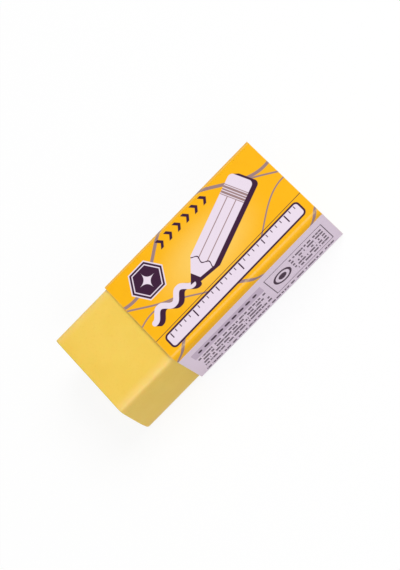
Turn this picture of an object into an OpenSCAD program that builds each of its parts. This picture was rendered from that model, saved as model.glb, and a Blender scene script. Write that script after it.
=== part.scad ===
// Block eraser in a card sleeve.
// A soft moulded block with rounded long edges sits in a folded and glued
// tube of printed card, and slides along it as it wears down.
// Frame: X runs along the block with the bare end at -X, Z is up, and the
// origin is in the middle of the footprint, on the surface it rests on.

/* [Block] */
// Length of the block
block_len = 42.9; // [36:0.1:70]
// Width of the block
block_w = 16.9; // [12:0.1:26]
// Height of the block
block_h = 11.7; // [7:0.1:16]
// Radius of the block's four long edges
block_edge_r = 0.9; // [0.3:0.1:2.5]

/* [Sleeve] */
// Length of the sleeve
sleeve_len = 31.8; // [20:0.1:34]
// Thickness of the card
card_t = 0.2; // [0.15:0.01:0.4]
// Inside radius of the card's folds
fold_r = 0.3; // [0.1:0.05:0.8]
// Width of the glue flap, which lies inside the bottom panel
flap_w = 8; // [4:0.1:11]
// Distance from the back fold to the bottom panel's free edge
seam_gap = 0.3; // [0:0.1:2]

/* [Fit] */
// Gap between the block and the card, on each side
slip_gap = 0.05; // [0.02:0.01:0.2]
// How far the block's end lies inside the sleeve's tail end
tail_recess = 0.4; // [0:0.1:2]

/* [Hidden] */
$fn = 48;

// Outside of the sleeve: one layer of card on three sides, two at the bottom
sleeve_w = block_w + 2 * (slip_gap + card_t);
sleeve_h = block_h + 2 * slip_gap + 3 * card_t;

// Ends along X
overall_len = block_len + tail_recess;
bare_x = -overall_len / 2;
tail_x = overall_len / 2;
mouth_x = tail_x - sleeve_len;

// The block lies on the glue flap
block_z = 2 * card_t + slip_gap;

// Free edges of the two lapped panels, across the sleeve
seam_y = sleeve_w / 2 - card_t - fold_r - seam_gap;
flap_y = sleeve_w / 2 - card_t - flap_w;

// A rectangle with round corners, standing on Y = 0 and centred on X
module round_rect(w, h, r) {
    translate([-w / 2, r]) square([w, h - 2 * r]);
    translate([r - w / 2, 0]) square([w - 2 * r, h]);
    for (x = [r - w / 2, w / 2 - r])
        for (y = [r, h - r])
            translate([x, y]) circle(r);
}

// Cross-section of a card tube that stands on Y = 0
module card_tube(h) {
    difference() {
        round_rect(sleeve_w, h, fold_r + card_t);
        translate([0, card_t])
            round_rect(sleeve_w - 2 * card_t, h - 2 * card_t, fold_r);
    }
}

// The part of a cross-section that lies between two places across the sleeve
module between(low, high) {
    intersection() {
        children();
        translate([low, 0]) square([high - low, sleeve_h]);
    }
}

// Cross-section of the sleeve, one strip of card: glue flap, back, top,
// front, and the bottom panel that laps under the flap
module sleeve_section() {
    between(-sleeve_w / 2, seam_y) card_tube(sleeve_h);
    between(flap_y, sleeve_w / 2)
        translate([0, card_t]) card_tube(sleeve_h - card_t);
}

// Pulls a cross-section out along X, its width along Y and its height along Z
module along_x(from, to) {
    translate([from, 0, 0])
        rotate([90, 0, 90])
            linear_extrude(to - from) children();
}

module eraser_block() {
    color([0.95, 0.81, 0.36])
        along_x(bare_x, tail_x - tail_recess)
            translate([0, block_z]) round_rect(block_w, block_h, block_edge_r);
}

module card_sleeve() {
    color([1.0, 0.74, 0.14])
        along_x(mouth_x, tail_x) sleeve_section();
}

eraser_block();
card_sleeve();
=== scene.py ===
"""Looks of a block eraser: a soft vinyl block in a folded, printed card sleeve."""

import math

import bmesh
import bpy
from mathutils import Matrix, Vector


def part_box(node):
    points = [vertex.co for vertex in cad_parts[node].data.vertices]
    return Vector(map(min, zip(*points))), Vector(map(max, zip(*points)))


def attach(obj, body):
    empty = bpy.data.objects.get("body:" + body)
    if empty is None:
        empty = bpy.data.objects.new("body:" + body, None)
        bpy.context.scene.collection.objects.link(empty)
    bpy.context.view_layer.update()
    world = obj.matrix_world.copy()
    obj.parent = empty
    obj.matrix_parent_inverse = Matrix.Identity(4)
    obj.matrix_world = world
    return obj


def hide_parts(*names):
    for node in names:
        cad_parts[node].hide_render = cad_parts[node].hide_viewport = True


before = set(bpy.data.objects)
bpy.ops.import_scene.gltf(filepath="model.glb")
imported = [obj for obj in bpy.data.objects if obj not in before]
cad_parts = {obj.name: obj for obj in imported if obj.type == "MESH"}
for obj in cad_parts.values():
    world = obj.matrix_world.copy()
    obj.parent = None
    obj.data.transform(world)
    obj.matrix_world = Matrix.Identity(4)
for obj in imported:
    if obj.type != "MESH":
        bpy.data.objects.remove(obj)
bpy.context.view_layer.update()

MM = 0.001

# Block: soft long edges and cut ends
LONG_EDGE = 1.3 * MM
LONG_EDGE_POWER = 3.2
FRONT_EDGE_DROP = 1.7 * MM
CUT_EDGE = 0.16 * MM
LOWER_CUT_EDGE = 0.5 * MM
FACE_SINK = 0.1 * MM
FRONT_SAG = 0.2 * MM
FRONT_BELLY = 0.14 * MM

# Sleeve: one strip of card, from the glue flap round to the lapped bottom panel
CARD = 0.2 * MM
FOLD = 0.8 * MM
FLAP = 8.0 * MM
SEAM_GAP = 0.3 * MM
GLUE = 0.01 * MM
MOUTH_BOW = 0.13 * MM
TAIL_BOW = 0.26 * MM
BOW_POWER = 8
UNROLLED = "unrolled"

# Lean of the sleeve's cut ends, for each unit across and up from the front top fold
MOUTH_LEAN = Vector((-0.0114, -0.028))
TAIL_LEAN = Vector((-0.012, -0.003))

# Camera at the photograph's viewing angle, for a picture of 400 x 570
EYE = Vector((22.630, -167.772, 339.257)) * MM
RIGHT = Vector((0.699419, -0.618411, -0.358304))
LOOK = Vector((-0.059708, 0.449015, -0.891527))
FOCAL_PIXELS = 2388.2
PICTURE_HEIGHT = 570
SENSOR = 36.0


def paint(red, green, blue):
    """A colour as seen on screen, 0 to 255, as a shader colour."""
    def linear(level):
        level = level / 255
        return level / 12.92 if level <= 0.04045 else ((level + 0.055) / 1.055) ** 2.4
    return (linear(red), linear(green), linear(blue), 1.0)


VINYL = paint(243, 203, 64)
VINYL_PALE = paint(245, 206, 71)
VINYL_DEEP = paint(237, 195, 55)
# Painted highlight colour, laid along the block's long edges
VINYL_PAINTED_HIGHLIGHT = paint(247, 209, 106)
AMBER = paint(255, 186, 0)
AMBER_DEEP = paint(252, 180, 0)
AMBER_GLOW = paint(255, 211, 102)
# Pale worn ink, also the colour of the painted highlight along the top folds
AMBER_WEAR_AND_HIGHLIGHT = paint(255, 226, 160)
LILAC = paint(238, 223, 238)
LILAC_BAND = paint(236, 218, 236)
LILAC_GREY = paint(206, 186, 208)
LINE_GREY = paint(158, 128, 128)
PLUM = paint(50, 4, 46)
BOARD = paint(226, 222, 214)
BOARD_FLECK = paint(196, 190, 180)
FLOOR = (0.7, 0.7, 0.7, 1.0)
WHITE = (1.0, 1.0, 1.0, 1.0)


class Value:
    """A socket in a finish's node tree. Operators on it add Math nodes."""

    def __init__(self, finish, socket):
        self.finish = finish
        self.socket = socket

    def math(self, operation, *others):
        return self.finish.math(operation, self, *others)

    def vector(self, operation, *others):
        return self.finish.vector(operation, self, *others)

    def __add__(self, other):
        return self.math("ADD", other)

    __radd__ = __add__

    def __sub__(self, other):
        return self.math("SUBTRACT", other)

    def __rsub__(self, other):
        return self.finish.math("SUBTRACT", other, self)

    def __mul__(self, other):
        return self.math("MULTIPLY", other)

    __rmul__ = __mul__

    def __truediv__(self, other):
        return self.math("DIVIDE", other)

    def __abs__(self):
        return self.math("ABSOLUTE")

    def at_least(self, other):
        return self.math("MAXIMUM", other)

    def at_most(self, other):
        return self.math("MINIMUM", other)

    def above(self, other):
        return self.math("GREATER_THAN", other)

    def below(self, other):
        return self.math("LESS_THAN", other)

    def ramp(self, low, high):
        """0 at low, 1 at high, smooth between."""
        settings = {"interpolation_type": "SMOOTHSTEP"}
        return self.finish.node("ShaderNodeMapRange", settings, {0: self, 1: low, 2: high})


class Finish:
    """A material, or the world, and the nodes that make it."""

    def __init__(self, holder, end="ShaderNodeOutputMaterial"):
        holder.use_nodes = True
        self.holder = holder
        self.tree = holder.node_tree
        self.tree.nodes.clear()
        self.end = self.tree.nodes.new(end)

    def node(self, kind, settings=None, sockets=None, out=0):
        """Adds a node: settings first, then the values or links of its sockets."""
        node = self.tree.nodes.new(kind)
        for name, value in (settings or {}).items():
            setattr(node, name, value)
        for key, value in (sockets or {}).items():
            if isinstance(value, Value):
                self.tree.links.new(value.socket, node.inputs[key])
            else:
                node.inputs[key].default_value = value
        return Value(self, node.outputs[out])

    def math(self, operation, *values):
        return self.node("ShaderNodeMath", {"operation": operation}, dict(enumerate(values)))

    def vector(self, operation, *values):
        out = 1 if operation == "LENGTH" else 0
        return self.node("ShaderNodeVectorMath", {"operation": operation}, dict(enumerate(values)), out)

    def mix(self, amount, under, over):
        """Colour under, with colour over laid on it by amount."""
        return self.node("ShaderNodeMix", {"data_type": "RGBA"}, {0: amount, 6: under, 7: over}, 2)

    def blend(self, amount, first, second):
        """Two surfaces, the second shown by amount."""
        return self.node("ShaderNodeMixShader", None, {0: amount, 1: first, 2: second})

    def join(self, across, along):
        return self.node("ShaderNodeCombineXYZ", None, {0: across, 1: along})

    def split(self, place):
        outputs = self.node("ShaderNodeSeparateXYZ", None, {0: place}).socket.node.outputs
        return [Value(self, output) for output in outputs]

    def object_mm(self):
        """Place on the piece, in millimetres."""
        place = self.node("ShaderNodeTexCoord", None, None, "Object")
        return self.node("ShaderNodeVectorMath", {"operation": "SCALE"}, {0: place, "Scale": 1 / MM})

    def noise(self, place, scale, detail=3.0):
        return self.node("ShaderNodeTexNoise", None, {"Vector": place, "Scale": scale, "Detail": detail})

    def bump(self, height, depth, under=None):
        """Relief of that depth in metres, laid over the relief under it."""
        sockets = {"Strength": 1.0, "Distance": depth, "Height": height}
        if under is not None:
            sockets["Normal"] = under
        return self.node("ShaderNodeBump", None, sockets)

    def surface(self, sockets):
        return self.node("ShaderNodeBsdfPrincipled", None, sockets)

    def seen(self):
        """1 for rays that show the backdrop: straight to the camera, by reflection or through glass."""
        path = self.node("ShaderNodeLightPath").socket.node.outputs
        rays = ("Is Camera Ray", "Is Glossy Ray", "Is Transmission Ray")
        camera, glossy, through = [Value(self, path[ray]) for ray in rays]
        return camera.at_least(glossy).at_least(through)

    def close(self, shader):
        self.tree.links.new(shader.socket, self.end.inputs["Surface"])
        return self.holder


# Vinyl

def vinyl(name, cut, half_w, half_h, middle):
    """Soft matte vinyl, with a paler painted highlight along the long edges. The cut ends show the
    knife's fine drag lines.
    """
    grain_tint, fleck_tint = 0.35, 0.25
    highlight_start, highlight_full = 1.9 * MM, 0.2 * MM
    knife_drag = (1.0, 0.25, 7.0)
    finish = Finish(bpy.data.materials.new(name))
    place = finish.object_mm()
    cloud = finish.noise(place, scale=0.22, detail=2.0)
    grain = finish.noise(place, scale=2.6, detail=4.0)
    fleck = finish.noise(place, scale=1.3, detail=1.0).ramp(0.7, 0.76)
    colour = finish.mix(cloud.ramp(0.35, 0.65), VINYL, VINYL_PALE)
    colour = finish.mix(grain.ramp(0.5, 0.75) * grain_tint, colour, VINYL_DEEP)
    colour = finish.mix(fleck * fleck_tint, colour, VINYL_DEEP)
    _, y, z = finish.split(place)
    # Painted highlight: a paler colour along the long edges, where the top or underside meets a side
    near_side = abs(y).ramp((half_w - highlight_start) / MM, (half_w - highlight_full) / MM)
    near_top = abs(z - middle / MM).ramp((half_h - highlight_start) / MM, (half_h - highlight_full) / MM)
    colour = finish.mix(near_side * near_top * (0.8 + 0.4 * cloud), colour, VINYL_PAINTED_HIGHLIGHT)
    relief = finish.bump(cloud, depth=0.04 * MM)
    relief = finish.bump(grain, depth=0.012 * MM, under=relief)
    if cut:
        streaks = finish.vector("MULTIPLY", place, knife_drag)
        drag_lines = finish.noise(streaks, scale=1.0, detail=3.0)
        relief = finish.bump(drag_lines, depth=0.05 * MM, under=relief)
    return finish.close(finish.surface({
        "Base Color": colour,
        "Roughness": 0.44 + 0.1 * grain,
        "Subsurface Weight": 0.5,
        "Subsurface Radius": (1.0, 0.55, 0.2),
        "Subsurface Scale": 0.9 * MM,
        "Specular IOR Level": 0.85,
        "Normal": relief,
    }))


def smooth(low, high, x):
    """0 at low, 1 at high, smooth between."""
    t = min(max((x - low) / (high - low), 0.0), 1.0)
    return t * t * (3 - 2 * t)


def soft_corner(half_w, half_h, drop):
    """Points and outward normals round one corner of the section, which reaches down by the drop."""
    steps = 14
    power = 2 / LONG_EDGE_POWER
    corner = []
    for k in range(steps + 1):
        turn = math.pi / 2 * k / steps
        c, s = max(math.cos(turn), 0.0), max(math.sin(turn), 0.0)
        point = Vector((half_w - LONG_EDGE * (1 - c ** power), half_h - drop * (1 - s ** power)))
        normal = Vector((c ** (2 - power) / LONG_EDGE, s ** (2 - power) / drop)).normalized()
        corner.append((point, normal))
    return corner


def soft_section(half_w, half_h):
    """Points and outward normals round the block's section, with softened corners."""
    side_steps = 8
    back_top, front_top, front_bottom, back_bottom = (1, 1), (-1, 1), (-1, -1), (1, -1)
    loop = []
    for flip in (back_top, front_top, front_bottom, back_bottom):
        drop = FRONT_EDGE_DROP if flip == front_top else LONG_EDGE
        corner = [(p * Vector(flip), n * Vector(flip)) for p, n in soft_corner(half_w, half_h, drop)]
        loop += corner[::-1] if flip in (front_top, back_bottom) else corner
    section = []
    for (p, n), (q, _) in zip(loop, loop[1:] + loop[:1]):
        section.append((p, n))
        if (q - p).length > 2 * LONG_EDGE:
            section += [(p.lerp(q, k / side_steps), n) for k in range(1, side_steps)]
    return section


def shaped(point, normal, half_w, half_h):
    """Top and underside draw in between the edges. The front settles where no glue flap lies under it,
    and bellies out towards its top edge."""
    settle_start, belly_full = 0.5, 0.5
    front = smooth(settle_start, -1.0, point.x / half_w)
    belly = FRONT_BELLY * front * smooth(-1.0, belly_full, point.y / half_h)
    drop = FRONT_SAG * front
    if abs(normal.y) > abs(normal.x):
        inside = max(0.0, 1 - (point.x / (half_w - LONG_EDGE)) ** 2)
        drop += math.copysign(FACE_SINK * inside ** 2, normal.y)
    return point - Vector((belly, drop))


def vinyl_block():
    """The block, one section pulled along it. Its cut ends have fine edges that are softer low down."""
    low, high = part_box("eraser_block")
    half_w = (high.y - low.y) / 2
    half_h = (high.z - low.z) / 2
    middle = (high.z + low.z) / 2
    section = [(shaped(p, n, half_w, half_h), n) for p, n in soft_section(half_w, half_h)]
    soft_start, soft_full = -0.35, -0.95
    edges = []
    for point, _ in section:
        lower = smooth(soft_start, soft_full, point.y / half_h)
        edges.append(CUT_EDGE + (LOWER_CUT_EDGE - CUT_EDGE) * lower)
    round_steps = 6
    along = 10
    cap_rings = (0.985, 0.75, 0.4)
    mesh = bmesh.new()

    def ring(end, inward, step):
        turn = math.pi / 2 * step / round_steps
        verts = []
        for (p, n), edge in zip(section, edges):
            place = p - n * edge * (1 - math.cos(turn))
            x = end + inward * edge * (1 - math.sin(turn))
            verts.append(mesh.verts.new((x, place.x, middle + place.y)))
        return verts

    def shrunk(verts, end, share):
        return [mesh.verts.new((end, v.co.y * share, middle + (v.co.z - middle) * share)) for v in verts]

    def strip(first, second, cut=0):
        count = len(first)
        for k in range(count):
            after = (k + 1) % count
            face = mesh.faces.new((first[k], first[after], second[after], second[k]))
            face.material_index = cut

    def cap(outer, end):
        for share in cap_rings:
            inner = shrunk(outer, end, share)
            strip(outer, inner, 1)
            outer = inner
        centre = mesh.verts.new((end, 0.0, middle))
        for first, second in zip(outer, outer[1:] + outer[:1]):
            mesh.faces.new((first, second, centre)).material_index = 1

    bare = [ring(low.x, 1, step) for step in range(round_steps + 1)]
    tail = [ring(high.x, -1, step) for step in range(round_steps + 1)]
    body = []
    for k in range(1, along):
        share = k / along
        body.append([mesh.verts.new(a.co.lerp(b.co, share)) for a, b in zip(bare[0], tail[0])])
    rows = bare[::-1] + body + tail
    for first, second in zip(rows, rows[1:]):
        strip(first, second)
    cap(rows[0], low.x)
    cap(rows[-1], high.x)
    skin = vinyl("moulded_vinyl", False, half_w, half_h, middle)
    cut_face = vinyl("cut_vinyl", True, half_w, half_h, middle)
    return piece("vinyl_block", mesh, [skin, cut_face])


# Card

def strip_path(width, height):
    """The card strip's printed side, as (point, outward normal, distance along)."""
    run_steps = 20
    fold_steps = 10
    flat_w = width - 2 * FOLD
    flat_h = height - 2 * FOLD
    lift = CARD + GLUE
    runs = (FLAP + CARD - FOLD, flat_h - lift, flat_w, flat_h, flat_w - SEAM_GAP)
    at = Vector((width / 2 - CARD - FLAP, lift))
    heading = Vector((1.0, 0.0))
    travelled = 0.0
    path = []
    for index, run in enumerate(runs):
        out = Vector((heading.y, -heading.x))
        for k in range(run_steps + 1):
            gone = run * (1 - math.cos(math.pi * k / run_steps)) / 2
            path.append((at + heading * gone, out, travelled + gone))
        at = at + heading * run
        travelled += run
        if index == len(runs) - 1:
            break
        centre = at - out * FOLD
        for k in range(1, fold_steps):
            turn = math.pi / 2 * k / fold_steps
            lean = out * math.cos(turn) + heading * math.sin(turn)
            path.append((centre + lean * FOLD, lean, travelled + FOLD * turn))
        at = centre + heading * FOLD
        heading = -out
        travelled += FOLD * math.pi / 2
    top_middle = runs[0] + runs[1] + runs[2] / 2 + FOLD * math.pi
    return [(point, out, (distance - top_middle) / MM) for point, out, distance in path]


def card_sleeve():
    """A folded tube of card. Its sides belly out, least at the mouth, and its ends are off square."""
    low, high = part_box("card_sleeve")
    length, width, height = high - low
    front_top = Vector((-width / 2, height))
    path = strip_path(width, height)
    stations = 16
    mesh = bmesh.new()
    sheet_map = mesh.loops.layers.uv.new(UNROLLED)
    places = {}

    def bellied(point, bow):
        level = 2 * point.y / height - 1
        swell = bow * (1 - level ** BOW_POWER)
        return Vector((point.x + math.copysign(swell, point.x), point.y))

    def row(share, depth):
        bow = MOUTH_BOW + (TAIL_BOW - MOUTH_BOW) * share
        lean = MOUTH_LEAN.lerp(TAIL_LEAN, share)
        verts = []
        for point, out, around in path:
            place = bellied(point, bow) - out * depth
            x = low.x + length * share + lean.dot(place - front_top)
            vert = mesh.verts.new((x, place.x, low.z + place.y))
            places[vert] = (length * share / MM, around)
            verts.append(vert)
        return verts

    def quad(a, b, c, d, bare):
        face = mesh.faces.new((a, b, c, d))
        face.material_index = bare
        for loop in face.loops:
            loop[sheet_map].uv = places[loop.vert]

    shares = [k / stations for k in range(stations + 1)]
    outer = [row(share, 0.0) for share in shares]
    inner = [row(share, CARD) for share in shares]
    last = len(path) - 1
    for k in range(stations):
        for j in range(last):
            quad(outer[k][j], outer[k + 1][j], outer[k + 1][j + 1], outer[k][j + 1], 0)
            quad(inner[k][j], inner[k][j + 1], inner[k + 1][j + 1], inner[k + 1][j], 1)
        quad(outer[k][0], inner[k][0], inner[k + 1][0], outer[k + 1][0], 1)
        quad(outer[k][last], outer[k + 1][last], inner[k + 1][last], inner[k][last], 1)
    for j in range(last):
        quad(outer[0][j], outer[0][j + 1], inner[0][j + 1], inner[0][j], 1)
        quad(outer[-1][j], inner[-1][j], inner[-1][j + 1], outer[-1][j + 1], 1)
    return piece("folded_sleeve", mesh, [printed_card(low, high), bare_board()])


def bare_board():
    """Uncoated board: the inside of the sleeve and its cut edges."""
    finish = Finish(bpy.data.materials.new("bare_board"))
    fleck_tint, fibre_tint = 0.4, 0.2
    place = finish.object_mm()
    fibre = finish.noise(place, scale=3.0, detail=5.0)
    fleck = finish.noise(place, scale=1.1, detail=2.0).ramp(0.6, 0.75)
    colour = finish.mix(fleck * fleck_tint + fibre * fibre_tint, BOARD, BOARD_FLECK)
    return finish.close(finish.surface({
        "Base Color": colour,
        "Roughness": 0.8 + 0.15 * fibre,
        "Normal": finish.bump(fibre, depth=0.02 * MM),
    }))


# Print: distances are in millimetres on the unrolled card, under 0 inside a shape

PRINT_EDGE = 0.06
PRINT_LEAN = 0.0107
STROKE_INK = 0.85
SHADOW_SHIFT = Vector((0.65, 0.7, 0.0))
SHADOW_SHARES = (0.35, 0.7, 1.0)
FULL_TURN = 2 * math.pi

# Pencil: its middle and turn on the face, and its parts' distances from the middle
PENCIL_MIDDLE = (18.9, -1.3, 0.0)
PENCIL_TURN = math.radians(-159)
PENCIL_HALF = 2.2
PENCIL_TIP = 9.6
PENCIL_LEAD = 7.9
PENCIL_SHOULDER = 5.4
PENCIL_FERRULE = -6.2
PENCIL_BUTT = -9.0


def inked(distance):
    """1 inside a shape, 0 outside, with the edge that printing leaves."""
    settings = {"operation": "MULTIPLY_ADD", "use_clamp": True}
    return distance.finish.node("ShaderNodeMath", settings, {0: distance, 1: -1 / PRINT_EDGE, 2: 0.5})


def box(along, around, middle, half, corner=0.0):
    """Distance to a box, with its corners rounded where a radius is given."""
    over_u = abs(along - middle[0]) - (half[0] - corner)
    over_v = abs(around - middle[1]) - (half[1] - corner)
    if corner == 0.0:
        return over_u.at_least(over_v)
    outside = along.finish.join(over_u.at_least(0.0), over_v.at_least(0.0)).vector("LENGTH")
    return outside + over_u.at_least(over_v).at_most(0.0) - corner


def wave(along, around, crest, height, length):
    """Distance to the middle of a wave line that has one crest at the given place."""
    turn = (along - crest[0]) * (FULL_TURN / length)
    slope = turn.math("SINE") * (height * FULL_TURN / length)
    lean = (slope * slope + 1).math("SQRT")
    return abs(around - (crest[1] - height) - turn.math("COSINE") * height) / lean


def row_of_bars(along, around, start, count, level, cell, radius):
    """Distance to a row of round-ended bars of mixed lengths, one in each cell."""
    finish = along.finish
    shortest, spare = 0.1, 0.1
    longest = cell / 2 - radius - spare
    step = (along - start) / cell
    index = step.math("FLOOR")
    chance = finish.node("ShaderNodeTexWhiteNoise", {"noise_dimensions": "1D"}, {"W": index + level})
    half = chance * (longest - shortest) + shortest
    across = (abs((step - index - 0.5) * cell) - half).at_least(0.0)
    bars = finish.join(across, around - level).vector("LENGTH") - radius
    reach = count * cell / 2
    return bars.at_least(abs(along - (start + reach)) - reach)


def rows_of_strokes(along, around, middle, half):
    """1 on rows of small strokes of mixed lengths, which stand for fine print."""
    finish = along.finish
    pitch, thickness = 1.0, 0.55
    row_jump, stroke_level = 7.3, 0.46
    step = (around - (middle[1] - half[1])) / pitch
    index = step.math("FLOOR")
    place = finish.join(along, index * row_jump)
    settings = {"noise_dimensions": "2D"}
    strokes = finish.node("ShaderNodeTexNoise", settings, {"Vector": place, "Scale": 1.6, "Detail": 2.0})
    row = (step - index).below(thickness)
    return strokes.above(stroke_level) * row * inked(box(along, around, middle, half))


def chevrons(along, around, start, count, level):
    """Distance to a row of arrow heads that point along the sleeve."""
    cell, half_height, slant, half, nudge = 1.9, 0.85, 0.75, 0.24, 0.3
    x = (((along - start) / cell).math("FRACT") - 0.5) * cell
    y = abs(around - level)
    arms = abs(x + y * slant - nudge) * math.cos(math.atan(slant)) - half
    reach = count * cell / 2
    row = abs(along - (start + reach)) - reach
    return arms.at_least(y - half_height).at_least(row)


def squiggle(finish, place):
    """Distance to a hand-drawn wave that ends at the pencil's tip."""
    along, around, _ = finish.split(place)
    crest = (1.9, 2.3)
    height, length, turns, half = 0.7, 4.2, 2, 0.5
    reach = turns * length / 2
    beyond = abs(along - (crest[0] + reach)) - reach
    line = wave(along, around, crest, height, length) - half
    round_ends = finish.join(beyond, around - crest[1]).vector("LENGTH") - half
    return line.at_least(beyond).at_most(round_ends)


def pencil(finish, place):
    """Distance to a pencil's outline, and place along and across it from its middle."""
    corner = 0.8
    settings = {"rotation_type": "Z_AXIS"}
    sockets = {"Vector": place, "Center": PENCIL_MIDDLE, "Angle": PENCIL_TURN}
    turned = finish.node("ShaderNodeVectorRotate", settings, sockets)
    length, across, _ = finish.split(turned.vector("SUBTRACT", PENCIL_MIDDLE))
    taper = PENCIL_HALF / (PENCIL_TIP - PENCIL_SHOULDER)
    width = ((PENCIL_TIP - length) * taper).at_most(PENCIL_HALF)
    middle = (PENCIL_TIP + PENCIL_BUTT, 0.0)
    rounded = box(length, across, middle, (PENCIL_TIP, PENCIL_HALF), corner)
    return (abs(across) - width).at_least(rounded), length, across


def drawn_pencil(finish, colour, place):
    """A pale pencil with a banded ferrule, a faceted barrel, a shaved cone and a dark lead."""
    ferrule_half = 0.9
    band_inset, band_apart, band_half = 0.45, 0.25, 0.07
    facet, facet_half = 0.8, 0.08
    scallop, scallop_turn, shaving_half = 0.3, 2.9, 0.1
    outline, length, across = pencil(finish, place)
    body = inked(outline)
    colour = finish.mix(inked(outline.at_least(length - PENCIL_LEAD)), colour, LILAC)
    ferrule = abs(length - PENCIL_FERRULE) - ferrule_half
    colour = finish.mix(body * inked(ferrule), colour, LINE_GREY)
    bands = abs(abs(ferrule + band_inset) - band_apart) - band_half
    colour = finish.mix(body * inked(bands), colour, LILAC)
    facets = abs(abs(across) - facet) - facet_half
    barrel = inked((length - PENCIL_SHOULDER).at_least(PENCIL_FERRULE + ferrule_half - length))
    colour = finish.mix(body * inked(facets) * barrel, colour, LINE_GREY)
    shaving = length - PENCIL_SHOULDER - scallop * (across * scallop_turn).math("COSINE")
    colour = finish.mix(body * inked(abs(shaving) - shaving_half), colour, PLUM)
    return finish.mix(inked(outline.at_least(PENCIL_LEAD - length)), colour, PLUM)


def ruler_strip(finish, colour, along, around):
    """A pale strip with a dark rim and a ruler's marks, along the fold."""
    middle, half, corner = (15.9, 6.4), (14.3, 1.1), 0.5
    rim, inset, first_mark = 0.32, 0.1, 2.5
    marks = ((1.0, 0.65, 0.07), (5.0, 1.05, 0.09), (10.0, 1.5, 0.11))
    strip = box(along, around, middle, half, corner)
    colour = finish.mix(inked(strip - rim), colour, PLUM)
    colour = finish.mix(inked(strip), colour, LILAC)
    for spacing, reach, width in marks:
        step = (along + first_mark + spacing / 2) / spacing
        off = abs(step.math("FRACT") - 0.5) * spacing
        mark = (off - width).at_least(around - (middle[1] - half[1] + reach))
        colour = finish.mix(inked(mark.at_least(strip + inset)), colour, PLUM)
    return colour


def hexagon_mark(finish, colour, place):
    """A dark six-sided mark with a pale outline and a four-pointed spark."""
    middle, radius, spark = (5.6, -3.9, 0.0), 2.75, 1.3
    rim, ring_inset, ring_half = 0.2, 0.42, 0.09
    slope = math.pi / 6
    across, along, _ = finish.split(place.vector("SUBTRACT", middle).vector("ABSOLUTE"))
    edge = (across * math.cos(slope) + along * math.sin(slope)).at_least(along) - radius
    colour = finish.mix(inked(edge - rim), colour, LILAC)
    colour = finish.mix(inked(edge), colour, PLUM)
    colour = finish.mix(inked(abs(edge + ring_inset) - ring_half), colour, LILAC)
    reach = across.math("SQRT") + along.math("SQRT")
    return finish.mix(inked(reach - spark), colour, LILAC)


def wide_face(finish, colour, along, around):
    """Design of a wide face, the same on the top and the bottom panel."""
    line_level, line_half = 4.63, 0.055
    place = finish.join(along, around)
    colour = finish.mix(inked(abs(around - line_level) - line_half), colour, PLUM)
    colour = ruler_strip(finish, colour, along, around)
    arrows = chevrons(along, around, start=10.2, count=6, level=-6.7)
    colour = finish.mix(inked(arrows), colour, PLUM)
    for share in SHADOW_SHARES:
        fallen = place.vector("SUBTRACT", SHADOW_SHIFT * share)
        shadow = squiggle(finish, fallen).at_most(pencil(finish, fallen)[0])
        colour = finish.mix(inked(shadow), colour, PLUM)
    colour = finish.mix(inked(squiggle(finish, place)), colour, LILAC)
    colour = drawn_pencil(finish, colour, place)
    return hexagon_mark(finish, colour, place)


def narrow_side(finish, colour, along, depth):
    """Pale band of a narrow side, with fields of grey and rows of strokes. Depth is from the fold."""
    band_start, band_lean, band_end = 1.2, 0.0143, 11.85
    line_half = 0.07
    ring_middle, ring_radius, ring_half, dot_radius = (20.6, 6.0), 1.6, 0.22, 0.8
    stroke_fields = (
        ((9.4, 7.5), (7.4, 1.9)),
        ((26.4, 6.1), (3.5, 2.3)),
        ((15.9, 10.4), (14.3, 0.4)),
    )
    band = (band_start - band_lean * along - depth).at_least(depth - band_end)
    colour = finish.mix(inked(band), colour, LILAC_BAND)
    grey_field = box(along, depth, middle=(9.4, 4.0), half=(7.6, 1.1))
    colour = finish.mix(inked(grey_field), colour, LILAC_GREY)
    bars = row_of_bars(along, depth, start=2.6, count=9, level=4.0, cell=1.5, radius=0.32)
    colour = finish.mix(inked(bars), colour, PLUM)
    for middle, half in stroke_fields:
        strokes = rows_of_strokes(along, depth, middle, half)
        colour = finish.mix(strokes * STROKE_INK, colour, PLUM)
    panel = box(along, depth, middle=(24.2, 6.0), half=(6.2, 3.2))
    colour = finish.mix(inked(abs(panel) - line_half), colour, PLUM)
    spot = finish.join(along - ring_middle[0], depth - ring_middle[1]).vector("LENGTH")
    colour = finish.mix(inked(abs(spot - ring_radius) - ring_half), colour, PLUM)
    return finish.mix(inked(spot - dot_radius), colour, PLUM)


def wave_lines(finish, colour, along, around):
    """Grey lines that sweep over the folds from face to face."""
    height, length = 3.4, 29.0
    crests = ((2.0, -3.0), (9.0, 2.0), (17.0, 7.5), (24.0, 12.0))
    halves = (0.28, 0.15, 0.13, 0.24)
    for crest, half in zip(crests, halves):
        line = wave(along, around, crest, height, length) - half
        colour = finish.mix(inked(line), colour, LINE_GREY)
    return colour


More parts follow.
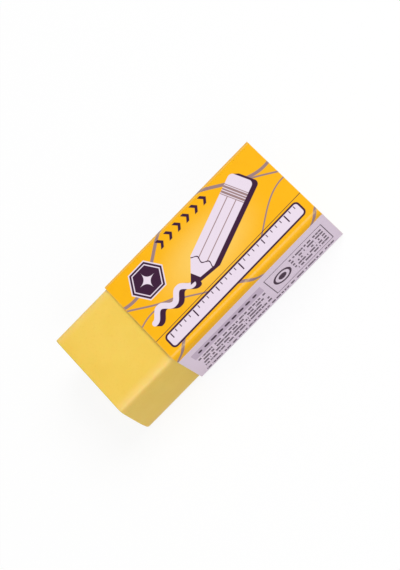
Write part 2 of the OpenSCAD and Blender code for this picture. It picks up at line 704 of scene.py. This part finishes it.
def printed_card(low, high):
    """Satin coated card with its print, on the unrolled strip, a little worn on the folds and rims, with
    a painted highlight along the top folds.
    """
    glow_middle, glow_half_length, glow_half_width = 15.5, 13.0, 7.2
    mottle_tint, glow_tint = 0.5, 0.85
    crest_share, crest_half, crest_wear_and_highlight = 0.3, 0.16, 0.3
    rim_width, rim_wear = 0.08, 0.25
    finish = Finish(bpy.data.materials.new("printed_card"))
    length = (high.x - low.x) / MM
    half_top = ((high.y - low.y) / 2 - FOLD) / MM
    fold = FOLD * math.pi / 2 / MM
    side = (high.z - low.z - 2 * FOLD) / MM
    under = 2 * (half_top + fold) + side
    sheet = finish.node("ShaderNodeUVMap", {"uv_map": UNROLLED})
    along, folded, _ = finish.split(sheet)
    around = folded + along * PRINT_LEAN
    below = folded.above(half_top + fold + side / 2)
    face = around - under * below
    mottle = finish.noise(sheet, scale=0.5, detail=3.0)
    fibre = finish.noise(sheet, scale=3.2, detail=4.0)
    centred = finish.join((along - glow_middle) / glow_half_length, face / glow_half_width)
    glow = 1 - centred.vector("LENGTH").ramp(0.1, 1.0)
    colour = finish.mix(mottle.ramp(0.4, 0.8) * mottle_tint, AMBER, AMBER_DEEP)
    colour = finish.mix(glow * glow_tint, colour, AMBER_GLOW)
    colour = wave_lines(finish, colour, along, face)
    colour = wide_face(finish, colour, along, face)
    behind = folded.below(0.0)
    depth = abs(around) - (half_top + fold)
    colour = narrow_side(finish, colour, along + behind * (length - 2 * along), depth)
    # Along the top folds, worn ink and a painted highlight line, set towards the top face; along the cut
    # rims, worn ink only
    crest = inked(abs(abs(folded) - half_top - crest_share * fold) - crest_half)
    rim = inked(along - rim_width).at_least(inked(length - rim_width - along))
    patchy = 0.5 + 0.5 * fibre.ramp(0.35, 0.65)
    wear_and_highlight = (crest * crest_wear_and_highlight).at_least(rim * rim_wear) * patchy
    colour = finish.mix(wear_and_highlight, colour, AMBER_WEAR_AND_HIGHLIGHT)
    relief = finish.bump(mottle, depth=0.05 * MM)
    relief = finish.bump(fibre, depth=0.006 * MM, under=relief)
    return finish.close(finish.surface({
        "Base Color": colour,
        "Roughness": 0.44 + 0.1 * fibre + 0.2 * wear_and_highlight,
        "Specular IOR Level": 0.22,
        "Normal": relief,
    }))


# Pieces and stage

def piece(name, mesh, materials):
    """An object from a finished mesh, smooth apart from its creases."""
    crease = math.radians(40)
    bmesh.ops.recalc_face_normals(mesh, faces=mesh.faces)
    data = bpy.data.meshes.new(name)
    mesh.to_mesh(data)
    mesh.free()
    data.shade_smooth()
    data.set_sharp_from_angle(angle=crease)
    for material in materials:
        data.materials.append(material)
    made = bpy.data.objects.new(name, data)
    bpy.context.scene.collection.objects.link(made)
    return made


def studio_floor():
    """Plain pale floor. It is white to the eye and keeps the object's soft shadow."""
    reach = 3.0
    drop = 0.03 * MM
    shade = 0.12
    mesh = bmesh.new()
    corners = ((-reach, -reach), (reach, -reach), (reach, reach), (-reach, reach))
    mesh.faces.new([mesh.verts.new((x, y, -drop)) for x, y in corners])
    finish = Finish(bpy.data.materials.new("studio_floor"))
    lit = finish.node("ShaderNodeBsdfDiffuse", None, {"Color": FLOOR})
    white = finish.node("ShaderNodeEmission", None, {"Color": WHITE, "Strength": 1.0})
    shaded = finish.node("ShaderNodeBsdfDiffuse", None, {"Color": WHITE})
    finish.close(finish.blend(finish.seen(), lit, finish.blend(shade, white, shaded)))
    floor = piece("studio_floor", mesh, [finish.holder])


def studio_air():
    """Even light from all round, with a white backdrop."""
    ambient = 0.42
    world = bpy.data.worlds.new("studio_air")
    bpy.context.scene.world = world
    finish = Finish(world, "ShaderNodeOutputWorld")
    soft = finish.node("ShaderNodeBackground", None, {"Color": WHITE, "Strength": ambient})
    white = finish.node("ShaderNodeBackground", None, {"Color": WHITE, "Strength": 1.0})
    finish.close(finish.blend(finish.seen(), soft, white))


def softbox(name, place, width, height, power):
    """A soft rectangular lamp that points at the object."""
    lamp = bpy.data.lights.new(name, "AREA")
    lamp.shape = "RECTANGLE"
    lamp.size = width
    lamp.size_y = height
    lamp.energy = power
    held = bpy.data.objects.new(name, lamp)
    held.location = place
    held.rotation_euler = (-Vector(place)).to_track_quat("-Z", "Y").to_euler()
    bpy.context.scene.collection.objects.link(held)


def camera():
    """The camera, at the photograph's angle and frame."""
    lens = bpy.data.cameras.new("camera")
    lens.sensor_fit = "VERTICAL"
    lens.sensor_height = SENSOR
    lens.lens = FOCAL_PIXELS / PICTURE_HEIGHT * SENSOR
    lens.clip_start = 10 * MM
    held = bpy.data.objects.new("camera", lens)
    up = RIGHT.cross(LOOK)
    turned = Matrix((RIGHT, up, -LOOK)).transposed().to_4x4()
    held.matrix_world = Matrix.Translation(EYE) @ turned
    bpy.context.scene.collection.objects.link(held)
    bpy.context.scene.camera = held


block = vinyl_block()
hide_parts("eraser_block")
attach(block, "block")

sleeve = card_sleeve()
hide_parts("card_sleeve")
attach(sleeve, "sleeve")

studio_floor()
studio_air()
softbox("overhead", place=(0.42, 0.1, 0.62), width=0.45, height=0.45, power=3.1)
softbox("front", place=(-0.04, -0.55, 0.46), width=0.35, height=0.3, power=1.25)
camera()
bpy.context.scene.view_settings.view_transform = "Standard"
